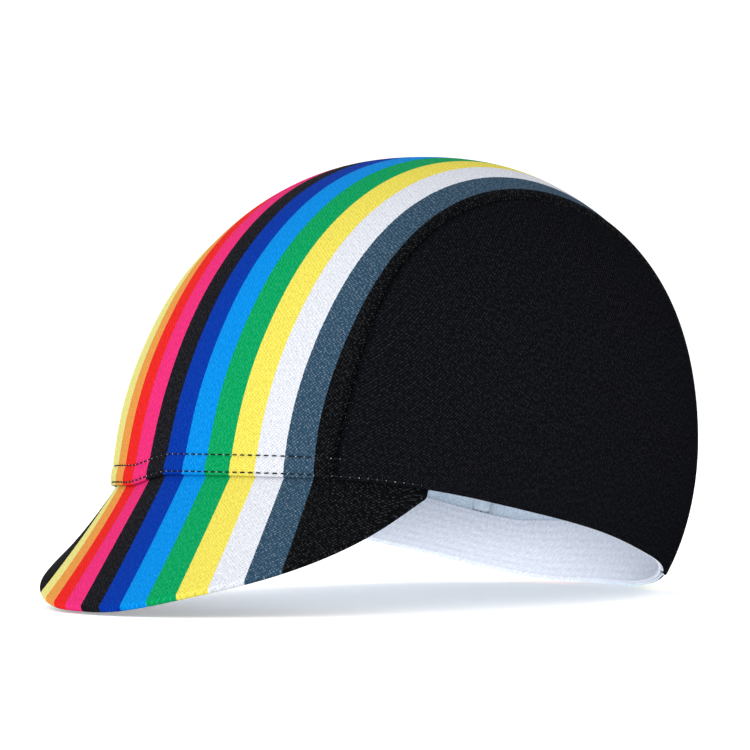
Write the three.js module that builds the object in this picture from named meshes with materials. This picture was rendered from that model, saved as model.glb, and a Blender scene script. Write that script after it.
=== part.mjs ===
// Cycling cap: a striped centre panel between two black side panels, a short stiff peak sewn under the
// front edge, and a white band inside the lower edge. Millimetres, +Z up. The peak points along -Y and the
// wearer's left is +X. The cap rests on the front edge of its peak and on the level rear part of its rim.

import * as THREE from 'three';
import { mergeVertices } from 'three/addons/utils/BufferGeometryUtils.js';

// Crown
const crownHalfWidth = 78;
const crownHalfLength = 97;
const crownRise = 70;
const crownRoundness = 2.1;
const panelWall = 1.2;
const seamGap = 0.3;

// Centre panel: half of its width over the top, and how much wider it gets at its two feet
const centreHalfWidth = 50.8;
const frontFootExtra = 4;
const rearFootExtra = 3.5;

// Rim: its height at the front above the floor, and where it starts and becomes level
const rimFrontHeight = 39.6;
const rimFrontReach = 97;
const rimRearReach = 100;
const floorBelowCentre = 60.2;

// Sag of the soft rim at the front: it begins at the middle, is full on the wearer's right, and fades
// rearward
const rimSag = 3.8;
const sagStart = 0;
const sagEnd = 26;
const sagFadeStart = -10;
const sagFadeEnd = 38;

// Foot of the crown, pushed out where the peak is sewn under it
const footFlare = 3.2;
const footFadeHeight = 9;
const footFadeLength = 60;

// Inner band
const bandHeight = 20;
const bandWall = 1.2;
const bandGap = 0.45;

// Peak
const peakHalfAngle = 56;
const peakForward = 37;
const peakSpread = 6.8;
const peakHollow = 0.12;
const peakWall = 2.4;
const peakDrop = rimFrontHeight - peakWall / 2;
const peakRootWall = 2.2;
const tabWall = 1.3;
const tabHeight = 6;

// Mesh density
const rowsAlong = 60;
const rowsAcross = 12;
const sideRows = 11;
const bandStations = 84;
const bandRows = 3;
const peakStations = 40;

// How far the crown reaches from its centre, as a share of its half length and rise, every 30 degrees
// from the front (0) over the top (90) to the rear (180) and on below the centre
const crownSections = [
  { turn: 0, reach: 0.80 },
  { turn: 30, reach: 0.77 },
  { turn: 60, reach: 0.89 },
  { turn: 90, reach: 1.12 },
  { turn: 120, reach: 1.18 },
  { turn: 150, reach: 1.16 },
  { turn: 180, reach: 1.14 },
  { turn: 210, reach: 1.28 },
  { turn: 240, reach: 1.46 },
  { turn: 270, reach: 1.36 },
  { turn: 300, reach: 1.16 },
  { turn: 330, reach: 0.96 },
];

// Height of the rim above the floor as a share of its height at the front, at even steps from the front
// to the rear, where the cloth below the floor lies flat on it
const rimSections = [
  { along: 0, height: 1.0 },
  { along: 0.125, height: 1.0 },
  { along: 0.25, height: 0.92 },
  { along: 0.375, height: 0.78 },
  { along: 0.5, height: 0.66 },
  { along: 0.625, height: 0.53 },
  { along: 0.75, height: 0.35 },
  { along: 0.875, height: 0.21 },
  { along: 1, height: -0.06 },
];

// Edge of the peak, from its middle (0) to its end (1), as shares of its forward reach, drop and spread
const peakSections = [
  { across: 0, forward: 1.0, drop: 1.0, spread: 0 },
  { across: 0.2, forward: 1.0, drop: 1.0, spread: -0.12 },
  { across: 0.4, forward: 0.89, drop: 0.88, spread: 0.26 },
  { across: 0.6, forward: 0.6, drop: 0.73, spread: 0.7 },
  { across: 0.8, forward: 0.28, drop: 0.44, spread: 1.0 },
  { across: 1, forward: 0.05, drop: 0.05, spread: 0.2 },
];

// Rows of the peak out from its root, as shares of its length
const peakRows = [0.1, 0.25, 0.42, 0.6, 0.8, 1];

const radians = THREE.MathUtils.degToRad;

// Smooth blend of the four nearest values; the weights are those of a cubic B-spline
function blend(values, place, entry) {
  const first = Math.floor(place);
  const t = place - first;
  const weights = [
    (1 - t) ** 3 / 6,
    (3 * t ** 3 - 6 * t ** 2 + 4) / 6,
    (-3 * t ** 3 + 3 * t ** 2 + 3 * t + 1) / 6,
    t ** 3 / 6,
  ];
  return weights.reduce((sum, weight, k) => sum + weight * entry(values, first + k - 1), 0);
}

function closedEntry(values, index) {
  return values[(index + values.length) % values.length];
}

function heldEntry(values, index) {
  return values[Math.min(Math.max(index, 0), values.length - 1)];
}

// Mirrored before the first value and carried on straight past the last
function mirroredEntry(values, index) {
  const last = values.length - 1;
  if (index < 0) return values[-index];
  if (index > last) return values[last] + (index - last) * (values[last] - values[last - 1]);
  return values[index];
}

const crownReaches = crownSections.map((row) => row.reach);
const rimHeights = rimSections.map((row) => row.height);

function crownReach(turn) {
  const steps = THREE.MathUtils.euclideanModulo(turn / (2 * Math.PI), 1) * crownReaches.length;
  return blend(crownReaches, steps, closedEntry);
}

function sagAt(point) {
  const across = THREE.MathUtils.smoothstep(-point.x, sagStart, sagEnd);
  return rimSag * across * THREE.MathUtils.smoothstep(-point.y, sagFadeStart, sagFadeEnd);
}

function rimHeight(point) {
  const share = (point.y + rimFrontReach) / (rimFrontReach + rimRearReach);
  const steps = THREE.MathUtils.clamp(share, 0, 1) * (rimHeights.length - 1);
  const height = rimFrontHeight * blend(rimHeights, steps, heldEntry);
  return Math.max(height, 0) - sagAt(point) - floorBelowCentre;
}

// Outer face of the crown without its flared foot; turn runs from the front over the top to the rear,
// lean from the centre line out to the side
function crownBase(turn, lean) {
  const side = Math.abs(Math.sin(lean)) ** crownRoundness;
  const ahead = (Math.abs(Math.cos(lean)) / crownReach(turn)) ** crownRoundness;
  const size = (side + ahead) ** (-1 / crownRoundness);
  return new THREE.Vector3(
    crownHalfWidth * size * Math.sin(lean),
    -crownHalfLength * size * Math.cos(lean) * Math.cos(turn),
    crownRise * size * Math.cos(lean) * Math.sin(turn),
  );
}

function flareAt(point) {
  const above = Math.max(point.z - rimHeight(point), 0);
  const ahead = THREE.MathUtils.smoothstep(-point.y, 0, footFadeLength);
  return footFlare * ahead * Math.exp(-above / footFadeHeight);
}

// A direction is a unit vector in the space where the crown's three sizes are 1
function directionOf(turn, lean) {
  return new THREE.Vector3(Math.sin(lean), -Math.cos(lean) * Math.cos(turn), Math.cos(lean) * Math.sin(turn));
}

function pointFrom(direction, flared) {
  const lean = Math.asin(THREE.MathUtils.clamp(direction.x, -1, 1));
  const point = crownBase(Math.atan2(direction.z, -direction.y), lean);
  if (flared) {
    const reach = Math.hypot(point.x, point.y);
    const grow = 1 + flareAt(point) / reach;
    point.x *= grow;
    point.y *= grow;
  }
  return point;
}

// Outward normal, from two small steps sideways on the surface
function normalFrom(direction, flared) {
  const step = 0.002;
  const helper = Math.abs(direction.z) < 0.9 ? new THREE.Vector3(0, 0, 1) : new THREE.Vector3(1, 0, 0);
  const first = new THREE.Vector3().crossVectors(helper, direction).normalize();
  const second = new THREE.Vector3().crossVectors(direction, first);
  const slopes = [first, second].map((side) => {
    const ahead = direction.clone().addScaledVector(side, step).normalize();
    const behind = direction.clone().addScaledVector(side, -step).normalize();
    return pointFrom(ahead, flared).sub(pointFrom(behind, flared));
  });
  return slopes[0].cross(slopes[1]).normalize();
}

// Direction whose point lies at a plan angle from the front and a height above the rim
function directionAtHeight(plan, height) {
  let low = -1.25;
  let high = 0.9;
  let direction = new THREE.Vector3();
  for (let k = 0; k < 40; k++) {
    const rise = (low + high) / 2;
    direction = new THREE.Vector3(
      Math.sin(plan) * Math.cos(rise) / crownHalfWidth,
      -Math.cos(plan) * Math.cos(rise) / crownHalfLength,
      Math.sin(rise) / crownRise,
    ).normalize();
    const point = pointFrom(direction, false);
    if (point.z > rimHeight(point) + height) high = rise;
    else low = rise;
  }
  return direction;
}

function centreWidthAt(turn) {
  const ahead = Math.cos(turn);
  return centreHalfWidth + (ahead > 0 ? frontFootExtra : rearFootExtra) * ahead ** 4;
}

// Lean at which a line over the crown has run a given distance sideways from the centre line
function leanAtDistance(turn, distance) {
  const steps = 60;
  const stepAngle = Math.PI / 2 / steps;
  let run = 0;
  let last = crownBase(turn, 0);
  for (let k = 1; k <= steps; k++) {
    const next = crownBase(turn, k * stepAngle);
    const length = next.distanceTo(last);
    if (run + length >= Math.abs(distance)) {
      const share = (Math.abs(distance) - run) / length;
      return Math.sign(distance) * (k - 1 + share) * stepAngle;
    }
    run += length;
    last = next;
  }
  return Math.sign(distance) * Math.PI / 2;
}

// Turn at which a line over the crown meets the rim, searched from the top towards one foot
function turnAtRim(share, inset, foot) {
  let inside = Math.PI / 2;
  let outside = foot;
  for (let k = 0; k < 40; k++) {
    const middle = (inside + outside) / 2;
    const distance = share * (centreWidthAt(middle) + inset);
    const point = crownBase(middle, leanAtDistance(middle, distance));
    if (point.z > rimHeight(point)) inside = middle;
    else outside = middle;
  }
  return inside;
}

const frontFoot = radians(-50);
const rearFoot = radians(235);

// Closed wall between an outer and an inner grid of the same size; ring grids join their last column
// to their first
function wallGeometry(outer, inner, ring) {
  const columns = outer.length;
  const rows = outer[0].length;
  const positions = [...outer.flat(), ...inner.flat()].flatMap((point) => point.toArray());
  const at = (side, i, j) => side * columns * rows + (i % columns) * rows + j;
  const triangles = [];
  const face = (a, b, c, d) => triangles.push(a, b, c, a, c, d);
  const lastColumn = ring ? columns : columns - 1;
  for (let i = 0; i < lastColumn; i++) {
    for (let j = 0; j < rows - 1; j++) {
      face(at(0, i, j), at(0, i + 1, j), at(0, i + 1, j + 1), at(0, i, j + 1));
      face(at(1, i, j), at(1, i, j + 1), at(1, i + 1, j + 1), at(1, i + 1, j));
    }
    face(at(0, i, 0), at(1, i, 0), at(1, i + 1, 0), at(0, i + 1, 0));
    face(at(0, i, rows - 1), at(0, i + 1, rows - 1), at(1, i + 1, rows - 1), at(1, i, rows - 1));
  }
  if (!ring) {
    for (let j = 0; j < rows - 1; j++) {
      face(at(0, 0, j), at(0, 0, j + 1), at(1, 0, j + 1), at(1, 0, j));
      const end = columns - 1;
      face(at(0, end, j), at(1, end, j), at(1, end, j + 1), at(0, end, j + 1));
    }
  }
  const geometry = new THREE.BufferGeometry();
  geometry.setAttribute('position', new THREE.Float32BufferAttribute(positions, 3));
  geometry.setIndex(triangles);
  return tidied(geometry);
}

// Shared corners are merged and triangles that have shrunk to a line are left out
function tidied(geometry) {
  const merged = mergeVertices(geometry, 1e-4);
  const index = merged.getIndex().array;
  const kept = [];
  for (let k = 0; k < index.length; k += 3) {
    const [a, b, c] = [index[k], index[k + 1], index[k + 2]];
    if (a !== b && b !== c && c !== a) kept.push(a, b, c);
  }
  merged.setIndex(kept);
  merged.computeVertexNormals();
  return merged;
}

// Outer and inner point of a wall; at the rim the wall's lower face stays level
function wallPair(direction, atRim) {
  const outer = pointFrom(direction, true);
  const normal = normalFrom(direction, true);
  if (atRim) normal.setZ(0).normalize();
  return [outer, outer.clone().addScaledVector(normal, -panelWall)];
}

function gridWall(columns, ring, flip) {
  const ordered = flip ? [...columns].reverse() : columns;
  const outer = ordered.map((column) => column.map((pair) => pair[0]));
  const inner = ordered.map((column) => column.map((pair) => pair[1]));
  return wallGeometry(outer, inner, ring);
}

// Centre panel: lines from the front rim over the top to the rear rim, side by side
function centrePanel() {
  const columns = [];
  for (let i = 0; i <= rowsAcross; i++) {
    const share = 2 * i / rowsAcross - 1;
    const start = turnAtRim(share, -seamGap / 2, frontFoot);
    const end = turnAtRim(share, -seamGap / 2, rearFoot);
    const column = [];
    for (let j = 0; j <= rowsAlong; j++) {
      const turn = THREE.MathUtils.lerp(start, end, j / rowsAlong);
      const lean = leanAtDistance(turn, share * (centreWidthAt(turn) - seamGap / 2));
      column.push(wallPair(directionOf(turn, lean), j === 0 || j === rowsAlong));
    }
    columns.push(column);
  }
  return gridWall(columns, false, false);
}

// Side panel: each column runs from the rim up to the seam, along straight lines between directions
function sidePanel(side) {
  const start = turnAtRim(side, seamGap / 2, frontFoot);
  const end = turnAtRim(side, seamGap / 2, rearFoot);
  const seam = [];
  for (let i = 0; i <= rowsAlong; i++) {
    const turn = THREE.MathUtils.lerp(start, end, i / rowsAlong);
    seam.push(directionOf(turn, leanAtDistance(turn, side * (centreWidthAt(turn) + seamGap / 2))));
  }
  const planOf = (direction) => Math.atan2(direction.x * crownHalfWidth, -direction.y * crownHalfLength);
  const firstPlan = planOf(seam[0]);
  const lastPlan = planOf(seam[rowsAlong]);
  const columns = seam.map((upper, i) => {
    const corner = i === 0 || i === rowsAlong;
    const plan = THREE.MathUtils.lerp(firstPlan, lastPlan, i / rowsAlong);
    const lower = corner ? upper : directionAtHeight(plan, 0);
    const column = [];
    for (let j = 0; j <= sideRows; j++) {
      const share = (j / sideRows) ** 1.2;
      const direction = new THREE.Vector3().lerpVectors(lower, upper, share).normalize();
      column.push(wallPair(direction, j === 0 || corner));
    }
    return column;
  });
  return gridWall(columns, false, side < 0);
}

// Inner band: a ring inside the lower edge, clear of the panels by its gap
function innerBand() {
  const columns = [];
  for (let i = 0; i < bandStations; i++) {
    const plan = 2 * Math.PI * i / bandStations;
    const column = [];
    for (let j = 0; j <= bandRows; j++) {
      const direction = directionAtHeight(plan, bandHeight * j / bandRows);
      const normal = normalFrom(direction, false);
      if (j === 0) normal.setZ(0).normalize();
      const outer = pointFrom(direction, false).addScaledVector(normal, -panelWall - bandGap);
      column.push([outer, outer.clone().addScaledVector(normal, -bandWall)]);
    }
    columns.push(column);
  }
  return gridWall(columns, true, false);
}

// Middle of the peak's tab, half way between the flared panel and the band, at a height above the rim
function tabPoint(plan, height) {
  const direction = directionAtHeight(plan, height);
  const point = pointFrom(direction, false);
  const normal = normalFrom(direction, false).setZ(0).normalize();
  const inset = panelWall - (flareAt(point) - bandGap) / 2;
  return point.addScaledVector(normal, -inset);
}

function peakShare(name, across) {
  const values = peakSections.map((row) => row[name]);
  return blend(values, Math.abs(across) * (values.length - 1), mirroredEntry);
}

// One line of the peak from the top of its tab to its edge; it drops faster near its root, and the sag
// of its root fades out towards its edge
function peakLine(across) {
  const plan = radians(peakHalfAngle) * across;
  const root = tabPoint(plan, 0);
  const sag = sagAt(root);
  const line = [tabHeight, tabHeight / 2].map((height) => tabPoint(plan, height));
  line.push(root);
  for (const out of peakRows) {
    const fall = out + peakHollow * out * (1 - out);
    line.push(new THREE.Vector3(
      root.x + Math.sign(across) * peakSpread * peakShare('spread', across) * out,
      root.y - peakForward * peakShare('forward', across) * out,
      root.z + (sag * out ** 2 - peakDrop * fall) * peakShare('drop', across),
    ));
  }
  return line;
}

// Peak: one board with its tab, made thick on both sides of its middle surface; its edge is cut upright,
// so that the middle of it stands on the floor
function peakBoard() {
  const lines = [];
  for (let i = 0; i <= peakStations; i++) lines.push(peakLine(2 * i / peakStations - 1));
  const walls = [tabWall, (tabWall + peakRootWall) / 2, peakRootWall, ...peakRows.map(() => peakWall)];
  const columns = lines.map((line, i) => line.map((point, j) => {
    const before = lines[Math.max(i - 1, 0)][j];
    const after = lines[Math.min(i + 1, peakStations)][j];
    const above = line[Math.max(j - 1, 0)];
    const below = line[Math.min(j + 1, line.length - 1)];
    const across = new THREE.Vector3().subVectors(after, before);
    const outward = new THREE.Vector3().subVectors(above, below).cross(across).normalize().negate();
    if (j === line.length - 1) outward.set(0, 0, 1);
    return [
      point.clone().addScaledVector(outward, walls[j] / 2),
      point.clone().addScaledVector(outward, -walls[j] / 2),
    ];
  }));
  return gridWall(columns, false, true);
}

const black = new THREE.MeshStandardMaterial({ color: 0x17181c, roughness: 0.85, metalness: 0 });
const blue = new THREE.MeshStandardMaterial({ color: 0x0a4fb4, roughness: 0.85, metalness: 0 });
const white = new THREE.MeshStandardMaterial({ color: 0xe6e9f2, roughness: 0.8, metalness: 0 });

function piece(name, geometry, material) {
  const mesh = new THREE.Mesh(geometry, material);
  mesh.name = name;
  return mesh;
}

const cap = new THREE.Group();
cap.add(
  piece('centre_panel', centrePanel(), blue),
  piece('side_panel_left', sidePanel(1), black),
  piece('side_panel_right', sidePanel(-1), black),
  piece('inner_band', innerBand(), white),
  piece('peak', peakBoard(), blue.clone()),
);

// The origin is on the floor, under the middle of the cap
const bounds = new THREE.Box3().setFromObject(cap);
const middle = bounds.getCenter(new THREE.Vector3());
cap.position.set(-middle.x, -middle.y, -bounds.min.z);

export default cap;
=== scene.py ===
"""Cycling cap: a striped centre panel between two black side panels, a short stiff peak sewn under the
front edge, and a white band inside the lower edge. Every form is a numpy surface, worked out in
millimetres from the named sizes below and laid over the loaded frame."""

import math

import bmesh
import bpy
import numpy as np
from mathutils import Matrix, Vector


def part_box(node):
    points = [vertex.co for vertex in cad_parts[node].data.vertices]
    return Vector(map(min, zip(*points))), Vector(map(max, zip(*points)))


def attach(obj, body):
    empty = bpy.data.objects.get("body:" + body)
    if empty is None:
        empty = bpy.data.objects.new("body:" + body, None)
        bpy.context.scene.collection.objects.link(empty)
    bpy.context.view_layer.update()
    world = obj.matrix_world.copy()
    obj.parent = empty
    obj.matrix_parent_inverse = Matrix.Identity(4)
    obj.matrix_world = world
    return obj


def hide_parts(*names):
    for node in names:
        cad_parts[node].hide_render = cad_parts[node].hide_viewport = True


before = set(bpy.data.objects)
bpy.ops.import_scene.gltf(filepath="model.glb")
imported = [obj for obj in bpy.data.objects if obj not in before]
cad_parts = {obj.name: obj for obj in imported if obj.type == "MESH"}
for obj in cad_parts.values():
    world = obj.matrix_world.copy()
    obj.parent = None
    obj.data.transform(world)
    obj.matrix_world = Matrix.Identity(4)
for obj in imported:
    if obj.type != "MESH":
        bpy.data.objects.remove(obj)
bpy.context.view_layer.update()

MM = 0.001

# Crown
CROWN_HALF_WIDTH = 78.0
CROWN_HALF_LENGTH = 97.0
CROWN_RISE = 70.0
CROWN_ROUNDNESS = 2.1
PANEL_WALL = 1.2
EDGE_RADIUS = 0.7
TURNED_WIDTH = 0.35

# Slow waves and short ripples of the worn cloth, calm along the edges
WAVE_RISE = 0.28
RIPPLE_RISE = 0.10
CALM_WIDTH = 20.0

# Side seams: a groove, and a soft roll of the centre panel beside it
SEAM_GAP = 0.02
SEAM_DEPTH = 1.4
CENTRE_GROOVE_WIDTH = 1.2
SIDE_GROOVE_WIDTH = 1.8
ROLL_RISE = 0.6
ROLL_PLACE = 2.7
ROLL_WIDTH = 1.6

# Centre panel
CENTRE_HALF_WIDTH = 50.8
FRONT_FOOT_EXTRA = 4.0
REAR_FOOT_EXTRA = 3.5
STRIPE_WIDTH = 8.67

# Extra width of the outermost stripe on the wearer's right, and where it begins and is full
OUTER_STRIPE_EXTRA = 5.0
OUTER_STRIPE_START = 40.0
OUTER_STRIPE_END = 54.0

# Rim
RIM_FRONT_HEIGHT = 39.6
RIM_FRONT_REACH = 97.0
RIM_REAR_REACH = 100.0
FLOOR_BELOW_CENTRE = 60.2

# Sag of the soft rim at the front: it begins at the middle, is full on the wearer's right, and fades
# rearward
RIM_SAG = 3.8
SAG_START = 0.0
SAG_END = 26.0
SAG_FADE_START = -10.0
SAG_FADE_END = 38.0

# Foot of the crown over the peak
FOOT_FLARE = 3.2
FOOT_FADE_HEIGHT = 9.0
FOOT_FADE_LENGTH = 60.0

# Inner band: its gap to the panel closes by a share between two angles past the peak's ends
BAND_HEIGHT = 20.0
BAND_WALL = 1.2
BAND_GAP = 0.45
BAND_GAP_LOSS = 0.6
BAND_FREE_START = 1.0
BAND_FREE_END = 12.0
BAND_RIB = 0.10
BAND_RIB_PITCH = 2.5
BAND_RIB_FADE = 2.0

# Peak
PEAK_HALF_ANGLE = 56.0
PEAK_FORWARD = 37.0
PEAK_SPREAD = 6.8
PEAK_HOLLOW = 0.12
PEAK_WALL = 2.4
PEAK_DROP = RIM_FRONT_HEIGHT - PEAK_WALL / 2
TAB_WALL = 1.3
TAB_HEIGHT = 6.0
PEAK_STRIPE_SPREAD = -0.12
PEAK_STRIPE_SKEW = 12.6
PEAK_TURNED_WIDTH = 1.3

# Folded front edge: a valley under each row of stitches and a swell between them, which fade out on the
# side panels behind the peak's ends
STITCH_ROWS = (1.0, 6.0)
VALLEY_DEPTH = 0.24
VALLEY_WIDTH = 0.6
SWELL_RISE = 0.16
SWELL_WIDTH = 2.0
HEM_FADE_START = 40.0
HEM_FADE_END = 56.0

# Stitches and needle marks
STITCH_PITCH = 2.6
STITCH_LENGTH = 1.8
STITCH_LIFT = 0.1
THREAD_RADIUS = 0.24
MARK_RADIUS = 0.15
BEAD_RINGS = 7
BEAD_SIDES = 8

# Turned-in cloth behind each side seam
SEAM_FOLD_WIDTH = 6.0
SEAM_FOLD_WALL = 0.4
SEAM_FOLD_GAP = 0.15
SEAM_FOLD_DENT_WIDTH = 2.0

# Knit: distance between neighbouring loops both ways, how the loops drift, and the yarn's grain
WALE = 0.57
COURSE = 0.54
DRIFT_SCALE = 70.0
DRIFT_REACH = 4.4
GRAIN_SCALE = 150.0

# Share of the light of a display colour that the cloth's colour keeps under this scene's lamps
PRINT_DEPTH = 0.54

# Ragged edges of the printed stripes
PRINT_NOISE_SCALE = 130.0
PRINT_NOISE_REACH = 0.003

# Light: the white surround, the floor's glow, the high light and the long low one
SURROUND_LIGHT = 1.2
FLOOR_GLOW = 0.28
HIGH_LIGHT = 0.9
LOW_LIGHT = 13

# Reach of the crown every 30 degrees from the front over the top, as shares of its sizes
CROWN_REACH = np.array([0.80, 0.77, 0.89, 1.12, 1.18, 1.16, 1.14, 1.28, 1.46, 1.36, 1.16, 0.96])

# Height of the rim from front to rear, as shares of its height at the front
RIM_HEIGHT = np.array([1.0, 1.0, 0.92, 0.78, 0.66, 0.53, 0.35, 0.21, -0.06])

# Edge of the peak from its middle to its end, as shares of its forward reach, drop and spread
PEAK_EDGE = {
    "forward": np.array([1.0, 1.0, 0.89, 0.6, 0.28, 0.05]),
    "drop": np.array([1.0, 1.0, 0.88, 0.73, 0.44, 0.05]),
    "spread": np.array([0.0, -0.12, 0.26, 0.7, 1.0, 0.2]),
}

# Rows of the peak's tab from its top down, as shares of its height
TAB_ROWS = np.array([1.0, 0.97, 0.8, 0.6, 0.4, 0.2])

# Stripes from the wearer's right to the left: display colour, and the strength of the pale flecks on the
# raised loops of the knit, partly pale yarn and partly painted highlight
STRIPES = {
    "pale_yellow": ((255, 248, 150), 0.1),
    "orange": ((253, 170, 80), 0.08),
    "red": ((255, 40, 34), 0.05),
    "pink": ((255, 50, 132), 0.06),
    "black": ((22, 21, 27), 0.1),
    "navy": ((0, 58, 174), 0.04),
    "blue": ((0, 150, 242), 0.06),
    "green": ((0, 168, 97), 0.12),
    "yellow": ((250, 234, 96), 0.1),
    "white": ((234, 237, 246), 0.1),
    "slate": ((49, 78, 101), 0.55),
}
PRINT_WIDTH = len(STRIPES) * STRIPE_WIDTH
# Black print beside the outer stripes, kept darker than the black stripe as painted shade of the seam
# groove
BLACK_EDGE_WITH_SEAM_SHADE = ((9, 9, 11), 0.1)
BLACK_CLOTH = (16, 17, 21)


def linear(colour, depth=1.0, alpha=1.0):
    """A display colour, 0 to 255, as linear light."""
    share = np.array(colour, float) / 255
    low = share / 12.92
    high = ((share + 0.055) / 1.055) ** 2.4
    return tuple(np.where(share <= 0.04045, low, high) * depth) + (alpha,)


def smooth_step(value, start, end):
    """0 before start, 1 after end, and an S-curve between them."""
    share = np.clip((value - start) / (end - start), 0, 1)
    return share * share * (3 - 2 * share)


def spline(values, place):
    """Cubic B-spline: each place takes the four values round it, the first one a step before it."""
    first = np.floor(place).astype(int)
    t = place - first
    weights = (
        (1 - t) ** 3 / 6,
        (3 * t**3 - 6 * t**2 + 4) / 6,
        (-3 * t**3 + 3 * t**2 + 3 * t + 1) / 6,
        t**3 / 6,
    )
    return sum(weight * values[first + k] for k, weight in enumerate(weights))


CLOSED_REACH = np.concatenate([CROWN_REACH[-1:], CROWN_REACH, CROWN_REACH[:3]])
HELD_RIM = np.concatenate([RIM_HEIGHT[:1], RIM_HEIGHT, RIM_HEIGHT[-1:], RIM_HEIGHT[-1:]])


def crown_reach(turn):
    """Share by which the crown reaches out at a turn from the front over the top."""
    return spline(CLOSED_REACH, (turn / (2 * np.pi) % 1) * len(CROWN_REACH))


def sag_at(points):
    """How far the soft rim sags at the front of the wearer's right."""
    across = smooth_step(-points[..., 0], SAG_START, SAG_END)
    return RIM_SAG * across * smooth_step(-points[..., 1], SAG_FADE_START, SAG_FADE_END)


def rim_height(points):
    """Height of the rim below or above points of the crown, level where the cloth lies on the floor."""
    share = np.clip((points[..., 1] + RIM_FRONT_REACH) / (RIM_FRONT_REACH + RIM_REAR_REACH), 0, 1)
    height = RIM_FRONT_HEIGHT * spline(HELD_RIM, share * (len(RIM_HEIGHT) - 1))
    return np.maximum(height, 0) - sag_at(points) - FLOOR_BELOW_CENTRE


def crown_base(turn, lean):
    """Crown: the turn goes from the front over the top and the lean from the centre line out. The sine of
    the lean and its cosine over the reach, each to the power of the roundness, are added, and the root of
    that sum divides the direction, which the three sizes then stretch."""
    side = np.abs(np.sin(lean)) ** CROWN_ROUNDNESS
    ahead = (np.abs(np.cos(lean)) / crown_reach(turn)) ** CROWN_ROUNDNESS
    size = (side + ahead) ** (-1 / CROWN_ROUNDNESS)
    return np.stack([
        CROWN_HALF_WIDTH * size * np.sin(lean),
        -CROWN_HALF_LENGTH * size * np.cos(lean) * np.cos(turn),
        CROWN_RISE * size * np.cos(lean) * np.sin(turn),
    ], axis=-1)


def flare_at(points):
    """How far the foot of the crown is pushed out over the peak."""
    above = np.maximum(points[..., 2] - rim_height(points), 0)
    ahead = smooth_step(-points[..., 1], 0, FOOT_FADE_LENGTH)
    return FOOT_FLARE * ahead * np.exp(-above / FOOT_FADE_HEIGHT)


def direction_of(turn, lean):
    """Unit vector in the space where the crown's three sizes are 1."""
    return np.stack([np.sin(lean), -np.cos(lean) * np.cos(turn), np.cos(lean) * np.sin(turn)], axis=-1)


def crown_points(direction, flared=True):
    """Points of the crown's outer face in those directions."""
    lean = np.arcsin(np.clip(direction[..., 0], -1, 1))
    points = crown_base(np.arctan2(direction[..., 2], -direction[..., 1]), lean)
    if flared:
        reach = np.hypot(points[..., 0], points[..., 1])
        points[..., :2] *= (1 + flare_at(points) / reach)[..., None]
    return points


def unit(vectors):
    """The same vectors with length 1."""
    return vectors / np.maximum(np.linalg.norm(vectors, axis=-1, keepdims=True), 1e-12)


def crown_normals(direction, flared=True):
    """Outward normals, from small steps both ways along two directions on the surface."""
    step = 0.002
    upright = np.abs(direction[..., 2:]) < 0.9
    helper = np.where(upright, np.array([0.0, 0.0, 1.0]), np.array([1.0, 0.0, 0.0]))
    first = unit(np.cross(helper, direction))
    second = np.cross(direction, first)
    slopes = []
    for side in (first, second):
        ahead = crown_points(unit(direction + step * side), flared)
        behind = crown_points(unit(direction - step * side), flared)
        slopes.append(ahead - behind)
    return unit(np.cross(slopes[0], slopes[1]))


def direction_at_height(plan, height):
    """Directions of the points at a plan angle from the front and a height above the rim."""
    low = np.full(plan.shape, -1.25)
    high = np.full(plan.shape, 0.9)
    for _ in range(40):
        rise = (low + high) / 2
        direction = unit(np.stack([
            np.sin(plan) * np.cos(rise) / CROWN_HALF_WIDTH,
            -np.cos(plan) * np.cos(rise) / CROWN_HALF_LENGTH,
            np.sin(rise) / CROWN_RISE,
        ], axis=-1))
        points = crown_points(direction, False)
        above = points[..., 2] > rim_height(points) + height
        high = np.where(above, rise, high)
        low = np.where(above, low, rise)
    return direction


def centre_width(turn):
    """Half width of the centre panel, wider at its two feet."""
    ahead = np.cos(turn)
    return CENTRE_HALF_WIDTH + np.where(ahead > 0, FRONT_FOOT_EXTRA, REAR_FOOT_EXTRA) * ahead**4


def lean_at(turn, distance):
    """Lean at which a line over the crown has run a distance sideways from the centre line."""
    leans = np.linspace(0, np.pi / 2, 181)
    points = crown_base(turn[:, None], leans[None, :])
    steps = np.linalg.norm(np.diff(points, axis=1), axis=-1)
    run = np.concatenate([np.zeros((len(turn), 1)), np.cumsum(steps, axis=1)], axis=1)
    wanted = np.abs(distance)[:, None]
    cell = np.clip((run < wanted).sum(axis=1) - 1, 0, len(leans) - 2)
    rows = np.arange(len(turn))
    share = (np.abs(distance) - run[rows, cell]) / steps[rows, cell]
    return np.sign(distance) * (cell + share) * (leans[1] - leans[0])


def turn_at_rim(share, inset, foot):
    """Turns at which lines over the crown meet the rim, from the top towards one foot."""
    inside = np.full(share.shape, np.pi / 2)
    outside = np.full(share.shape, foot)
    for _ in range(36):
        middle = (inside + outside) / 2
        lean = lean_at(middle, share * (centre_width(middle) + inset))
        points = crown_base(middle, lean)
        above = points[:, 2] > rim_height(points)
        inside = np.where(above, middle, inside)
        outside = np.where(above, outside, middle)
    return inside


FRONT_FOOT = math.radians(-50)
REAR_FOOT = math.radians(235)


def eased(count, crowd):
    """Shares from 0 to 1, crowded towards both ends."""
    t = np.linspace(0, 1, count)
    return t - crowd * np.sin(2 * np.pi * t) / (2 * np.pi)


def run_along(points, axis):
    """Distance run along one axis of a grid of points."""
    steps = np.linalg.norm(np.diff(points, axis=axis), axis=-1)
    start = np.zeros_like(np.take(steps, [0], axis=axis))
    return np.concatenate([start, np.cumsum(steps, axis=axis)], axis=axis)


def edge_distance(points, axis):
    """Distance to the nearer end along one axis of a grid."""
    run = run_along(points, axis)
    return np.minimum(run, np.take(run, [-1], axis=axis) - run)


def rounded(distance, radius):
    """Share of the full thickness near a rounded edge."""
    share = np.clip(distance / radius, 0, 1)
    return np.sqrt(np.maximum(1 - (1 - share) ** 2, 0))


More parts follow.
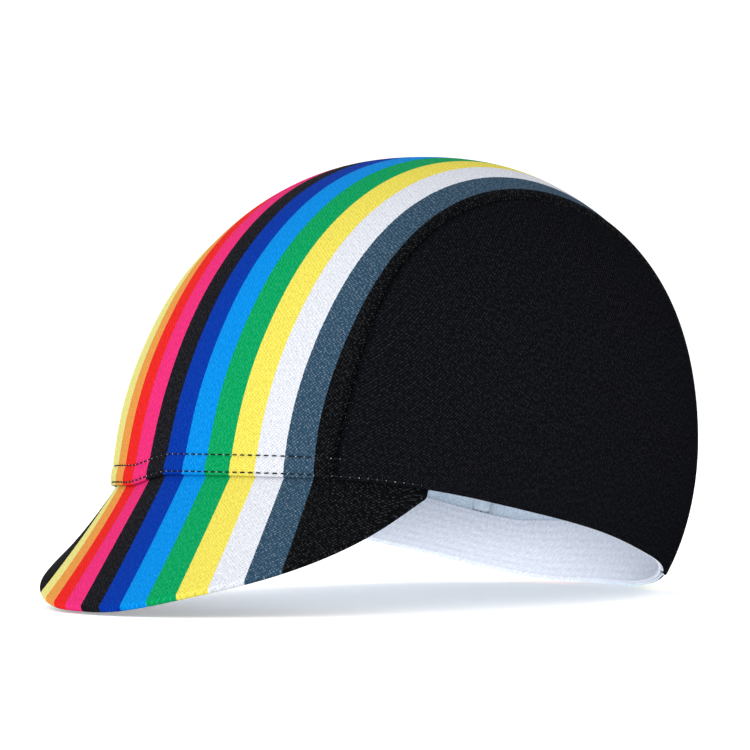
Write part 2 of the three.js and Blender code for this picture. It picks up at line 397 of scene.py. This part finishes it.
def bump(distance, centre, width):
    """A smooth rise of height 1."""
    return np.exp(-(((distance - centre) / width) ** 2))


def new_object(name, points, faces, uv_maps, materials, face_materials):
    """A mesh object from points in millimetres, quads, and one pair of coordinates a point for each map."""
    mesh = bpy.data.meshes.new(name)
    mesh.from_pydata(((points + SHIFT) * MM).tolist(), [], faces.tolist())
    corners = faces.ravel()
    for map_name, values in uv_maps.items():
        layer = mesh.uv_layers.new(name=map_name)
        layer.data.foreach_set("uv", values[corners].astype(np.float32).ravel())
    for material in materials:
        mesh.materials.append(material)
    mesh.polygons.foreach_set("material_index", face_materials.astype(np.int32))
    mesh.polygons.foreach_set("use_smooth", np.ones(len(faces), bool))
    thing = bpy.data.objects.new(name, mesh)
    bpy.context.scene.collection.objects.link(thing)
    weld(thing)
    return thing


def weld(thing):
    """Joins the points that lie on each other and drops what has shrunk to nothing."""
    work = bmesh.new()
    work.from_mesh(thing.data)
    bmesh.ops.remove_doubles(work, verts=work.verts, dist=2e-6)
    bmesh.ops.dissolve_degenerate(work, edges=work.edges, dist=1e-7)
    bmesh.ops.recalc_face_normals(work, faces=work.faces)
    work.to_mesh(thing.data)
    work.free()


def grid_faces(rows, columns, start, ring=False, flip=False):
    """Quads of a grid of points that is stored row by row."""
    i, j = np.meshgrid(np.arange(rows if ring else rows - 1), np.arange(columns - 1), indexing="ij")
    after = (i + 1) % rows
    here = i * columns + j
    beside = after * columns + j
    quads = np.stack([here, beside, beside + 1, here + 1], -1).reshape(-1, 4) + start
    return quads[:, ::-1] if flip else quads


def cloth(name, middle, normals, half_wall, uv_maps, outside, inside, ring=False, flip=False, turned=None):
    """A closed cloth piece: the middle surface moved by half its wall both ways, meeting at its edges.
    The outside material goes round to the inner face where turned is true."""
    rows, columns = middle.shape[:2]
    offset = normals * half_wall[..., None]
    points = np.concatenate([(middle + offset).reshape(-1, 3), (middle - offset).reshape(-1, 3)])
    top = grid_faces(rows, columns, 0, ring, flip)
    under = grid_faces(rows, columns, rows * columns, ring, not flip)
    faces = np.concatenate([top, under])
    maps = {key: np.tile(value.reshape(-1, 2), (2, 1)) for key, value in uv_maps.items()}
    hidden = np.ones(len(under)) if turned is None else 1.0 - turned.ravel()[top].any(axis=1)
    which = np.concatenate([np.zeros(len(top)), hidden])
    return new_object(name, points, faces, maps, [outside, inside], which)


def hem_relief(distance):
    """Relief of the folded front edge: two stitched valleys with a soft swell between them."""
    valleys = sum(VALLEY_DEPTH * bump(distance, row, VALLEY_WIDTH) for row in STITCH_ROWS)
    swell = SWELL_RISE * bump(distance, sum(STITCH_ROWS) / 2, SWELL_WIDTH)
    return swell - valleys


def cloth_wave(points):
    """Slow, shallow waves of worn cloth: two products of sines that run slantwise to each other."""
    x, y, z = points[..., 0], points[..., 1], points[..., 2]
    first = np.sin(x / 17 + y / 29 + 0.6) * np.sin(z / 21 - y / 37 + 1.1)
    second = np.sin(x / 9 - z / 13 + 0.3) * np.sin(y / 15 + z / 19)
    return WAVE_RISE * first + RIPPLE_RISE * second


def calm_share(to_edge):
    """Share of the waves near an edge: 0 at the edge and 1 a calm width away from it."""
    return to_edge.clip(0, CALM_WIDTH) / CALM_WIDTH


def centre_panel(striped, lining):
    """Centre panel: lines from the front rim over the top to the rear rim, with a soft roll beside each
    seam and a stitched fold along the front edge."""
    shares = 2 * eased(131, 0.72) - 1
    along = eased(301, 0.74)
    start = turn_at_rim(shares, -SEAM_GAP / 2, FRONT_FOOT)
    end = turn_at_rim(shares, -SEAM_GAP / 2, REAR_FOOT)
    directions = []
    distances = []
    for share, first, last in zip(shares, start, end):
        turn = first + (last - first) * along
        distance = share * (centre_width(turn) - SEAM_GAP / 2)
        directions.append(direction_of(turn, lean_at(turn, distance)))
        distances.append(distance)
    direction = np.array(directions)
    distance = np.array(distances)
    base = crown_points(direction)
    normals = crown_normals(direction)
    to_seam = edge_distance(base, 0)
    to_rim = run_along(base, 1)
    to_rear = to_rim[:, -1:] - to_rim
    to_edge = np.minimum(to_seam, np.minimum(to_rim, to_rear))
    groove = SEAM_DEPTH * bump(to_seam, 0, CENTRE_GROOVE_WIDTH)
    roll = ROLL_RISE * bump(to_seam, ROLL_PLACE, ROLL_WIDTH) - groove
    relief = roll + hem_relief(to_rim) + cloth_wave(base) * calm_share(to_edge)
    half = PANEL_WALL / 2 * rounded(to_edge, EDGE_RADIUS)
    middle = base + normals * (relief - PANEL_WALL / 2)[..., None]
    weave = np.stack([distance, to_rim], -1) / 100
    printed = distance + OUTER_STRIPE_EXTRA * smooth_step(-distance, OUTER_STRIPE_START, OUTER_STRIPE_END)
    print_place = np.stack([printed / PRINT_WIDTH + 0.5, to_rim / 100], -1)
    maps = {"weave": weave, "print": print_place}
    turned = np.minimum(to_seam, to_rim) < TURNED_WIDTH
    return cloth("centre_panel_cloth", middle, normals, half, maps, striped, lining, turned=turned)


def side_panel(name, side, black, lining):
    """Side panel: columns from the rim up to the seam, with the edge drawn in under the seam's roll."""
    ends = np.array([float(side)])
    start = turn_at_rim(ends, SEAM_GAP / 2, FRONT_FOOT)[0]
    end = turn_at_rim(ends, SEAM_GAP / 2, REAR_FOOT)[0]
    along = np.linspace(0, 1, 261)
    turn = start + (end - start) * along
    upper = direction_of(turn, lean_at(turn, side * (centre_width(turn) + SEAM_GAP / 2)))
    plan_of = np.arctan2(upper[:, 0] * CROWN_HALF_WIDTH, -upper[:, 1] * CROWN_HALF_LENGTH)
    lower = direction_at_height(plan_of[0] + (plan_of[-1] - plan_of[0]) * along, 0)
    lower[0] = upper[0]
    lower[-1] = upper[-1]
    share = eased(141, 0.75)[None, :, None]
    direction = unit(lower[:, None] * (1 - share) + upper[:, None] * share)
    base = crown_points(direction)
    normals = crown_normals(direction)
    to_rim = run_along(base, 1)
    to_seam = to_rim[:, -1:] - to_rim
    along_edge = edge_distance(base, 0)
    to_edge = np.minimum(to_rim, to_seam)
    groove = -SEAM_DEPTH * bump(to_seam, 0, SIDE_GROOVE_WIDTH)
    near_peak = smooth_step(-base[..., 1], HEM_FADE_START, HEM_FADE_END)
    calm = calm_share(np.minimum(to_edge, along_edge))
    relief = groove + hem_relief(to_rim) * near_peak + cloth_wave(base) * calm
    half = PANEL_WALL / 2 * rounded(to_edge, EDGE_RADIUS)
    middle = base + normals * (relief - PANEL_WALL / 2)[..., None]
    weave = np.stack([base[..., 1], to_rim + rim_height(base)], -1) / 100
    maps = {"weave": weave}
    turned = (to_seam < TURNED_WIDTH) | ((to_rim < TURNED_WIDTH) & (near_peak > 0))
    return cloth(name, middle, normals, half, maps, black, lining, flip=side < 0, turned=turned)


def seam_fold(name, side, lining):
    """Turned-in cloth behind a side seam: a thin strip that follows the seam inside the crown."""
    turn = np.linspace(FRONT_FOOT, REAR_FOOT, 2400)
    across = np.linspace(-0.5, 0.5, 17) * SEAM_FOLD_WIDTH
    lines = []
    for step in across:
        points = crown_base(turn, lean_at(turn, side * (centre_width(turn) + step)))
        above_band = turn[points[:, 2] - rim_height(points) > BAND_HEIGHT]
        kept = np.linspace(above_band[0], above_band[-1], 241)
        lines.append(direction_of(kept, lean_at(kept, side * (centre_width(kept) + step))))
    direction = np.array(lines)
    base = crown_points(direction)
    normals = crown_normals(direction)
    to_edge = np.minimum(edge_distance(base, 0), edge_distance(base, 1))
    drawn_in = SEAM_DEPTH * bump(across, 0, SEAM_FOLD_DENT_WIDTH)[:, None] + SEAM_FOLD_GAP
    middle = base - normals * (PANEL_WALL + SEAM_FOLD_WALL / 2 + drawn_in)[..., None]
    half = SEAM_FOLD_WALL / 2 * rounded(to_edge, 0.4)
    weave = np.stack([across[:, None] + 0 * to_edge, run_along(base, 1)], -1) / 100
    return cloth(name, middle, normals, half, {"weave": weave}, lining, lining, flip=side < 0)


def inner_band(tape):
    """Inner band: a ring of ribbed tape inside the lower edge, which follows the crown's flare where
    nothing is sewn in between."""
    plan = np.linspace(0, 2 * np.pi, 420, endpoint=False)[:, None]
    height = (BAND_HEIGHT * eased(61, 0.8))[None, :]
    direction = direction_at_height(plan + 0 * height, 0 * plan + height)
    normals = crown_normals(direction, False)
    base = crown_points(direction, False)
    off_front = np.degrees(np.abs((plan + np.pi) % (2 * np.pi) - np.pi))
    free = smooth_step(off_front, PEAK_HALF_ANGLE + BAND_FREE_START, PEAK_HALF_ANGLE + BAND_FREE_END)
    follow = flare_at(base) * free
    run = run_along(base, 1)
    to_edge = np.minimum(run, run[:, -1:] - run)
    ribs = BAND_RIB * np.cos(2 * np.pi * height / BAND_RIB_PITCH) * rounded(to_edge, BAND_RIB_FADE)
    inset = PANEL_WALL + BAND_GAP * (1 - BAND_GAP_LOSS * free) + BAND_WALL / 2
    middle = base + normals * (follow - inset)[..., None]
    half = (BAND_WALL + ribs) / 2 * rounded(to_edge, BAND_WALL / 2)
    round_run = run_along(base, 0)
    weave = np.stack([round_run, 0 * plan + height], -1) / 100
    return cloth("inner_band_tape", middle, normals, half, {"weave": weave}, tape, tape, ring=True)


def tab_points(plan, height):
    """Middle of the peak's tab, half way between the flared panel and the band."""
    direction = direction_at_height(plan, height)
    points = crown_points(direction, False)
    normals = crown_normals(direction, False)
    normals[..., 2] = 0
    inset = PANEL_WALL - (flare_at(points) - BAND_GAP) / 2
    return points - unit(normals) * inset[..., None]


def peak_share(name, across):
    """Share of one of the peak's edge sizes at a place across it."""
    values = PEAK_EDGE[name]
    step = values[-1] - values[-2]
    beyond = [values[-1] + step, values[-1] + 2 * step]
    padded = np.concatenate([values[1:2], values, beyond])
    return spline(padded, np.abs(across) * (len(values) - 1))


def rim_distance(x):
    """Distance round the crown from the centre line to the rim point at a place across the cap."""
    shares = np.array([0.0, 0.2, 0.4, 0.6, 0.8, 1.0])
    turn = turn_at_rim(shares, 0, FRONT_FOOT)
    distance = shares * centre_width(turn)
    places = crown_base(turn, lean_at(turn, distance))[:, 0]
    slope = (distance[-1] - distance[-2]) / (places[-1] - places[-2])
    inside = np.interp(np.abs(x), places, distance)
    return np.sign(x) * (inside + slope * np.maximum(np.abs(x) - places[-1], 0))


def peak(striped, underside):
    """Peak: lines from the top of its tab to its edge, which drop faster near the root. The sag of the
    root fades out towards the edge."""
    across = (2 * eased(241, 0.35) - 1)[:, None]
    plan = math.radians(PEAK_HALF_ANGLE) * across
    tab = TAB_HEIGHT * TAB_ROWS
    out = eased(90, 0.45)[None, :]
    root = tab_points(plan, 0 * plan)
    fall = out + PEAK_HOLLOW * out * (1 - out)
    board = np.stack([
        root[..., 0] + np.sign(across) * PEAK_SPREAD * peak_share("spread", across) * out,
        root[..., 1] - PEAK_FORWARD * peak_share("forward", across) * out,
        root[..., 2] + (sag_at(root) * out**2 - PEAK_DROP * fall) * peak_share("drop", across),
    ], -1)
    tab_part = tab_points(plan + 0 * tab, 0 * plan + tab)
    middle = np.concatenate([tab_part, board], axis=1)
    normals = unit(np.cross(np.gradient(middle, axis=1), np.gradient(middle, axis=0)))
    tab_share = np.concatenate([tab / TAB_HEIGHT, 0 * out[0]])
    wall = PEAK_WALL + (TAB_WALL - PEAK_WALL) * tab_share
    to_end = edge_distance(middle, 0)
    to_edge = edge_distance(middle, 1)
    half = wall / 2 * rounded(np.minimum(to_end, to_edge), PEAK_WALL / 2)
    run = run_along(middle, 1)
    from_root = np.concatenate([0 * tab, out[0]])
    across_root = (middle[..., 0] - PEAK_STRIPE_SKEW * from_root) / (1 + PEAK_STRIPE_SPREAD * from_root)
    place = rim_distance(across_root)
    weave = np.stack([place, -run], -1) / 100
    print_place = np.stack([place / PRINT_WIDTH + 0.5, -run / 100], -1)
    maps = {"weave": weave, "print": print_place}
    outer_half = np.arange(middle.shape[1])[None, :] > middle.shape[1] / 2
    turned = outer_half & (to_edge < PEAK_TURNED_WIDTH)
    return cloth("peak_cloth", middle, normals, half, maps, striped, underside, flip=True, turned=turned)


def bead(place, run, line, normals, length, radius, arch):
    """One tube with round ends along a row: rings of points round its curved middle."""
    share = np.linspace(-1, 1, BEAD_RINGS)
    places = place + share * length / 2
    middle = np.stack([np.interp(places, run, line[:, axis]) for axis in range(3)], -1)
    up = unit(np.stack([np.interp(places, run, normals[:, axis]) for axis in range(3)], -1))
    side = np.cross(unit(np.gradient(middle, axis=0)), up)
    angle = np.linspace(0, 2 * np.pi, BEAD_SIDES, endpoint=False)
    ring = np.cos(angle)[None, :, None] * side[:, None] + np.sin(angle)[None, :, None] * up[:, None]
    size = radius * np.sqrt(np.maximum(1 - share**4, 0))
    lifted = middle + (arch * (1 - share**2))[:, None] * up
    return lifted[:, None] + ring * size[:, None, None]


def bead_rows(name, material, length, radius, arch, phase, uneven):
    """Two rows of small tubes across the front, half sunk in the stitched valleys. Phase is where a row
    begins, in pitches, and uneven is how much the tubes' thickness changes along it."""
    plan = np.radians(np.linspace(-PEAK_HALF_ANGLE, PEAK_HALF_ANGLE, 900))
    beads = []
    for height in STITCH_ROWS:
        direction = direction_at_height(plan, np.full(plan.shape, height))
        normals = crown_normals(direction)
        line = crown_points(direction) + normals * (hem_relief(height) + STITCH_LIFT)
        run = run_along(line, 0)
        count = int(run[-1] / STITCH_PITCH)
        for k in range(count - 1):
            place = (k + phase) * run[-1] / count
            size = radius * (1 - uneven * abs(math.sin(2.4 * k)))
            beads.append(bead(place, run, line, normals, length, size, arch))
    points = np.array(beads).reshape(-1, 3)
    ring, side = np.meshgrid(np.arange(BEAD_RINGS - 1), np.arange(BEAD_SIDES), indexing="ij")
    low = ring * BEAD_SIDES
    after = (side + 1) % BEAD_SIDES
    one = np.stack([low + side, low + after, low + BEAD_SIDES + after, low + BEAD_SIDES + side], -1)
    starts = np.arange(len(beads)) * BEAD_RINGS * BEAD_SIDES
    faces = (one.reshape(1, -1, 4) + starts[:, None, None]).reshape(-1, 4)
    maps = {"weave": np.zeros((len(points), 2))}
    return new_object(name, points, faces, maps, [material], np.zeros(len(faces)))


def socket(tree, name, kind, direction, default=None):
    """Adds a named socket to a node group."""
    made = tree.interface.new_socket(name=name, in_out=direction, socket_type=kind)
    if default is not None:
        made.default_value = default


class Nodes:
    """Short calls for making and joining shader nodes in one tree."""

    def __init__(self, tree):
        self.tree = tree

    def add(self, kind, **settings):
        node = self.tree.nodes.new(kind)
        for key, value in settings.items():
            setattr(node, key, value)
        return node

    def join(self, source, target):
        self.tree.links.new(source, target)

    def math(self, operation, *values, clamp=False):
        node = self.add("ShaderNodeMath", operation=operation, use_clamp=clamp)
        for place, value in enumerate(values):
            if isinstance(value, (int, float)):
                node.inputs[place].default_value = value
            else:
                self.join(value, node.inputs[place])
        return node.outputs[0]

    def mix(self, factor, first, second, mode="MIX"):
        node = self.add("ShaderNodeMix", data_type="RGBA", blend_type=mode)
        for place, value in ((0, factor), (6, first), (7, second)):
            if isinstance(value, (int, float, tuple)):
                node.inputs[place].default_value = value
            else:
                self.join(value, node.inputs[place])
        return node.outputs[2]


def knit_group():
    """Knit mesh: loops and small gaps in a staggered pattern. Takes the cloth's own coordinates, its
    colour and the colour in the gaps; gives the colour and the height of the knit. Pale flecks on the
    raised loops are partly pale yarn and partly painted highlight."""
    tree = bpy.data.node_groups.new("knit_mesh", "ShaderNodeTree")
    socket(tree, "Cloth Place", "NodeSocketVector", "INPUT")
    socket(tree, "Yarn Color", "NodeSocketColor", "INPUT", (0.5, 0.5, 0.5, 1))
    socket(tree, "Gap Color", "NodeSocketColor", "INPUT", (0.2, 0.2, 0.2, 1))
    socket(tree, "Fleck And Highlight Color", "NodeSocketColor", "INPUT", (0.8, 0.8, 0.8, 1))
    socket(tree, "Gap Strength", "NodeSocketFloat", "INPUT", 0.5)
    socket(tree, "Fleck And Highlight Strength", "NodeSocketFloat", "INPUT", 0.0)
    socket(tree, "Knit Color", "NodeSocketColor", "OUTPUT")
    socket(tree, "Knit Height", "NodeSocketFloat", "OUTPUT")
    nodes = Nodes(tree)
    given = nodes.add("NodeGroupInput").outputs
    result = nodes.add("NodeGroupOutput").inputs
    wobble = nodes.add("ShaderNodeTexNoise", noise_dimensions="2D")
    wobble.inputs["Scale"].default_value = DRIFT_SCALE
    wobble.inputs["Detail"].default_value = 2.0
    nodes.join(given["Cloth Place"], wobble.inputs["Vector"])
    place = nodes.add("ShaderNodeSeparateXYZ")
    nodes.join(given["Cloth Place"], place.inputs[0])
    drift = nodes.math("MULTIPLY", nodes.math("SUBTRACT", wobble.outputs["Fac"], 0.5), DRIFT_REACH)
    wale = nodes.math("MULTIPLY_ADD", place.outputs["X"], math.pi / WALE * 100, drift)
    course = nodes.math("MULTIPLY_ADD", place.outputs["Y"], math.pi / COURSE * 100, drift)
    waves = nodes.math("MULTIPLY", nodes.math("SINE", wale), nodes.math("SINE", course))
    gap = nodes.math("MULTIPLY", nodes.math("MAXIMUM", waves, 0.0), given["Gap Strength"])
    coloured = nodes.mix(gap, given["Yarn Color"], given["Gap Color"])
    stretch = nodes.add("ShaderNodeVectorMath", operation="MULTIPLY")
    stretch.inputs[1].default_value = (1.0, 0.55, 1.0)
    nodes.join(given["Cloth Place"], stretch.inputs[0])
    grain = nodes.add("ShaderNodeTexNoise", noise_dimensions="2D")
    grain.inputs["Scale"].default_value = GRAIN_SCALE
    grain.inputs["Detail"].default_value = 2.0
    nodes.join(stretch.outputs[0], grain.inputs["Vector"])
    uneven = nodes.math("MULTIPLY_ADD", grain.outputs["Fac"], 0.5, 0.75)
    shaded = nodes.mix(1.0, coloured, uneven, "MULTIPLY")
    # Pale flecks on the raised loops: partly pale yarn, partly painted highlight of light caught by the
    # loops
    loop = nodes.math("MAXIMUM", nodes.math("MULTIPLY", waves, -1.0), 0.0)
    pale = nodes.math("MULTIPLY_ADD", grain.outputs["Fac"], 6.0, -2.6, clamp=True)
    fleck_and_highlight = nodes.math("MULTIPLY", nodes.math("MULTIPLY", loop, pale), given["Fleck And Highlight Strength"])
    nodes.join(nodes.mix(fleck_and_highlight, shaded, given["Fleck And Highlight Color"]), result["Knit Color"])
    height = nodes.math("MULTIPLY_ADD", waves, -0.5, 0.5)
    nodes.join(nodes.math("MULTIPLY_ADD", grain.outputs["Fac"], 0.4, height), result["Knit Height"])


def knit_material(name, colour, gap, fleck_and_highlight, strengths, striped=False, shine=0.1, relief=0.2):
    """A knit cloth with one colour, or with the printed stripes. The strengths are those of the gaps and
    of the pale flecks on the loops, partly pale yarn and partly painted highlight, which the stripes set
    for themselves."""
    material = bpy.data.materials.new(name)
    material.use_nodes = True
    nodes = Nodes(material.node_tree)
    shader = material.node_tree.nodes["Principled BSDF"]
    shader.inputs["Roughness"].default_value = 0.85
    shader.inputs["Specular IOR Level"].default_value = shine
    knit = nodes.add("ShaderNodeGroup", node_tree=bpy.data.node_groups["knit_mesh"])
    weave = nodes.add("ShaderNodeUVMap", uv_map="weave")
    nodes.join(weave.outputs["UV"], knit.inputs["Cloth Place"])
    knit.inputs["Gap Strength"].default_value = strengths[0]
    knit.inputs["Fleck And Highlight Strength"].default_value = strengths[1]
    knit.inputs["Fleck And Highlight Color"].default_value = fleck_and_highlight
    if striped:
        stripes = stripe_ramp(nodes)
        nodes.join(stripes["Color"], knit.inputs["Yarn Color"])
        nodes.join(nodes.mix(0.8, stripes["Color"], gap), knit.inputs["Gap Color"])
        nodes.join(stripes["Alpha"], knit.inputs["Fleck And Highlight Strength"])
    else:
        knit.inputs["Yarn Color"].default_value = colour
        knit.inputs["Gap Color"].default_value = gap
    nodes.join(knit.outputs["Knit Color"], shader.inputs["Base Color"])
    lift = nodes.add("ShaderNodeBump")
    lift.inputs["Strength"].default_value = 0.5
    lift.inputs["Distance"].default_value = relief * MM
    nodes.join(knit.outputs["Knit Height"], lift.inputs["Height"])
    nodes.join(lift.outputs["Normal"], shader.inputs["Normal"])
    return material


def stripe_ramp(nodes):
    """The printed stripes across the cloth, with black beside the outer two, kept darker as painted shade
    of the seam groove; the alpha of each holds the strength of the pale flecks there, partly pale yarn and
    partly painted highlight."""
    uv = nodes.add("ShaderNodeUVMap", uv_map="print")
    place = nodes.add("ShaderNodeSeparateXYZ")
    nodes.join(uv.outputs["UV"], place.inputs[0])
    edge = nodes.add("ShaderNodeTexNoise", noise_dimensions="2D")
    edge.inputs["Scale"].default_value = PRINT_NOISE_SCALE
    nodes.join(uv.outputs["UV"], edge.inputs["Vector"])
    ragged = nodes.math("MULTIPLY", nodes.math("SUBTRACT", edge.outputs["Fac"], 0.5), PRINT_NOISE_REACH)
    spot = nodes.math("ADD", place.outputs["X"], ragged)
    # The black print at both ends carries painted shade of the seam groove beside it
    entries = [BLACK_EDGE_WITH_SEAM_SHADE, *STRIPES.values(), BLACK_EDGE_WITH_SEAM_SHADE]
    count = len(entries)
    band = nodes.math("MULTIPLY_ADD", spot, len(STRIPES) / count, 1 / count)
    ramp = nodes.add("ShaderNodeValToRGB")
    ramp.color_ramp.interpolation = "CONSTANT"
    elements = ramp.color_ramp.elements
    for k, (colour, pale) in enumerate(entries):
        made = elements[k] if k < 2 else elements.new(k / count)
        made.position = k / count
        made.color = linear(colour, PRINT_DEPTH, pale)
    nodes.join(band, ramp.inputs["Fac"])
    return ramp.outputs


def thread_material(name, colour, roughness):
    """Thread: one colour that a fine grain makes lighter in places."""
    material = bpy.data.materials.new(name)
    material.use_nodes = True
    nodes = Nodes(material.node_tree)
    shader = material.node_tree.nodes["Principled BSDF"]
    shader.inputs["Roughness"].default_value = roughness
    shader.inputs["Specular IOR Level"].default_value = 0.08
    grain = nodes.add("ShaderNodeTexNoise")
    place = nodes.add("ShaderNodeTexCoord")
    nodes.join(place.outputs["Object"], grain.inputs["Vector"])
    grain.inputs["Scale"].default_value = 2500.0
    lighter = tuple(min(1, part * 2.5) for part in colour)
    nodes.join(nodes.mix(grain.outputs["Fac"], colour, lighter), shader.inputs["Base Color"])
    return material


def make_camera():
    """Camera at the photograph's viewing angle; the focal share is its focal length over the picture's
    width."""
    azimuth = math.radians(47.0)
    elevation = math.radians(-0.47)
    distance = 1000.0
    focal_share = 3206 / 750
    aim_aside = -3.0
    aim_height = 8.9
    right = np.array([math.cos(azimuth), math.sin(azimuth), 0.0])
    back = np.array([
        math.sin(azimuth) * math.cos(elevation),
        -math.cos(azimuth) * math.cos(elevation),
        math.sin(elevation),
    ])
    aim = aim_aside * right + np.array([0, 0, aim_height])
    place = aim + distance * back + SHIFT
    axes = np.stack([right, np.cross(back, right), back], axis=1)
    data = bpy.data.cameras.new("camera")
    data.sensor_width = 36
    data.lens = data.sensor_width * focal_share
    data.clip_start = 0.01
    data.clip_end = 50
    camera = bpy.data.objects.new("camera", data)
    matrix = np.eye(4)
    matrix[:3, :3] = axes
    matrix[:3, 3] = place * MM
    camera.matrix_world = Matrix(matrix.tolist())
    bpy.context.scene.collection.objects.link(camera)
    bpy.context.scene.camera = camera
    bpy.context.scene.view_settings.view_transform = "Standard"


def floor():
    """A wide pale floor that glows a little, like a light table."""
    reach = 12.0
    mesh = bpy.data.meshes.new("floor")
    corners = [(-reach, -reach, 0), (reach, -reach, 0), (reach, reach, 0), (-reach, reach, 0)]
    mesh.from_pydata(corners, [], [(0, 1, 2, 3)])
    thing = bpy.data.objects.new("floor", mesh)
    bpy.context.scene.collection.objects.link(thing)
    material = bpy.data.materials.new("floor_paper")
    material.use_nodes = True
    shader = material.node_tree.nodes["Principled BSDF"]
    shader.inputs["Base Color"].default_value = (0.96, 0.96, 0.96, 1)
    shader.inputs["Roughness"].default_value = 1.0
    shader.inputs["Specular IOR Level"].default_value = 0.0
    shader.inputs["Emission Color"].default_value = (1, 1, 1, 1)
    shader.inputs["Emission Strength"].default_value = FLOOR_GLOW
    mesh.materials.append(material)


def area_light(name, place, target, size, power):
    """A soft rectangular light that faces a target, all in metres."""
    data = bpy.data.lights.new(name, "AREA")
    data.shape = "RECTANGLE"
    data.size = size[0]
    data.size_y = size[1]
    data.energy = power
    light = bpy.data.objects.new(name, data)
    back = unit(np.array(place) - np.array(target))
    right = unit(np.cross([0.0, 0.0, 1.0], back))
    matrix = np.eye(4)
    matrix[:3, 0] = right
    matrix[:3, 1] = np.cross(back, right)
    matrix[:3, 2] = back
    matrix[:3, 3] = place
    light.matrix_world = Matrix(matrix.tolist())
    bpy.context.scene.collection.objects.link(light)


def studio():
    """Plain soft light: a white surround, a wide light from high in front and a long low one."""
    world = bpy.data.worlds.new("studio")
    world.use_nodes = True
    world.node_tree.nodes["Background"].inputs["Color"].default_value = (1, 1, 1, 1)
    world.node_tree.nodes["Background"].inputs["Strength"].default_value = SURROUND_LIGHT
    bpy.context.scene.world = world
    sun = bpy.data.lights.new("main", "SUN")
    sun.energy = HIGH_LIGHT
    sun.angle = math.radians(70)
    lamp = bpy.data.objects.new("main", sun)
    lamp.rotation_euler = (math.radians(60), 0, math.radians(-35))
    bpy.context.scene.collection.objects.link(lamp)
    area_light("low_fill", (1.0, -0.83, 0.09), (0.0, 0.0, 0.03), (1.0, 0.14), LOW_LIGHT)


def frame_shift():
    """Where the crown's own centre lies in the frame, from the centre panel's rearmost and highest
    point."""
    turn = np.linspace(FRONT_FOOT, REAR_FOOT, 2000)
    line = crown_base(turn, 0 * turn)
    kept = line[line[:, 2] > rim_height(line)]
    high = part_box("centre_panel")[1]
    return np.array([0.0, high.y / MM - kept[:, 1].max(), high.z / MM - kept[:, 2].max()])


def dress():
    """Makes every piece and lays it over the frame."""
    knit_group()
    pale = linear((236, 246, 255))
    black = linear(BLACK_CLOTH, PRINT_DEPTH)
    deep = linear((4, 4, 5))
    # Fleck colours: partly pale yarn, partly painted highlight on the loops
    pale_yarn_and_highlight = linear((168, 182, 190), PRINT_DEPTH)
    dim_yarn_and_highlight = linear((112, 114, 124), PRINT_DEPTH)
    striped = knit_material("striped_knit", None, deep, pale_yarn_and_highlight, (0.42, 0.0), True, shine=0.02)
    side = knit_material("black_knit", black, deep, dim_yarn_and_highlight, (0.6, 0.15), shine=0.0)
    lining = knit_material("panel_back", pale, linear((194, 216, 245)), pale, (0.8, 0.0))
    tape = knit_material("band_tape", linear((230, 232, 241)), pale, pale, (0.25, 0.0), relief=0.04)
    thread = thread_material("black_thread", linear((10, 10, 12)), 0.8)
    marks = thread_material("pale_marks", linear((125, 130, 135)), 0.9)
    pieces = [
        (centre_panel(striped, lining), "centre_panel", "striped_mesh"),
        (side_panel("side_panel_left_cloth", 1, side, lining), "side_panel_left", "black_mesh"),
        (side_panel("side_panel_right_cloth", -1, side, lining), "side_panel_right", "black_mesh"),
        (inner_band(tape), "inner_band", "white_band"),
        (peak(striped, side), "peak", "striped_peak"),
    ]
    for thing, node, slot in pieces:
        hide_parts(node)
        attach(thing, "root")
    stitches = bead_rows("front_stitches", thread, STITCH_LENGTH, THREAD_RADIUS,
                         arch=0.12, phase=0.5, uneven=0.15)
    needle_marks = bead_rows("needle_marks", marks, 2 * MARK_RADIUS, MARK_RADIUS,
                             arch=0.0, phase=1.0, uneven=0.7)
    extras = [
        (stitches, "black_mesh"),
        (needle_marks, "striped_mesh"),
        (seam_fold("seam_fold_left", 1, lining), "black_mesh"),
        (seam_fold("seam_fold_right", -1, lining), "black_mesh"),
    ]
    for thing, slot in extras:
        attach(thing, "root")


SHIFT = frame_shift()
make_camera()
floor()
studio()
dress()
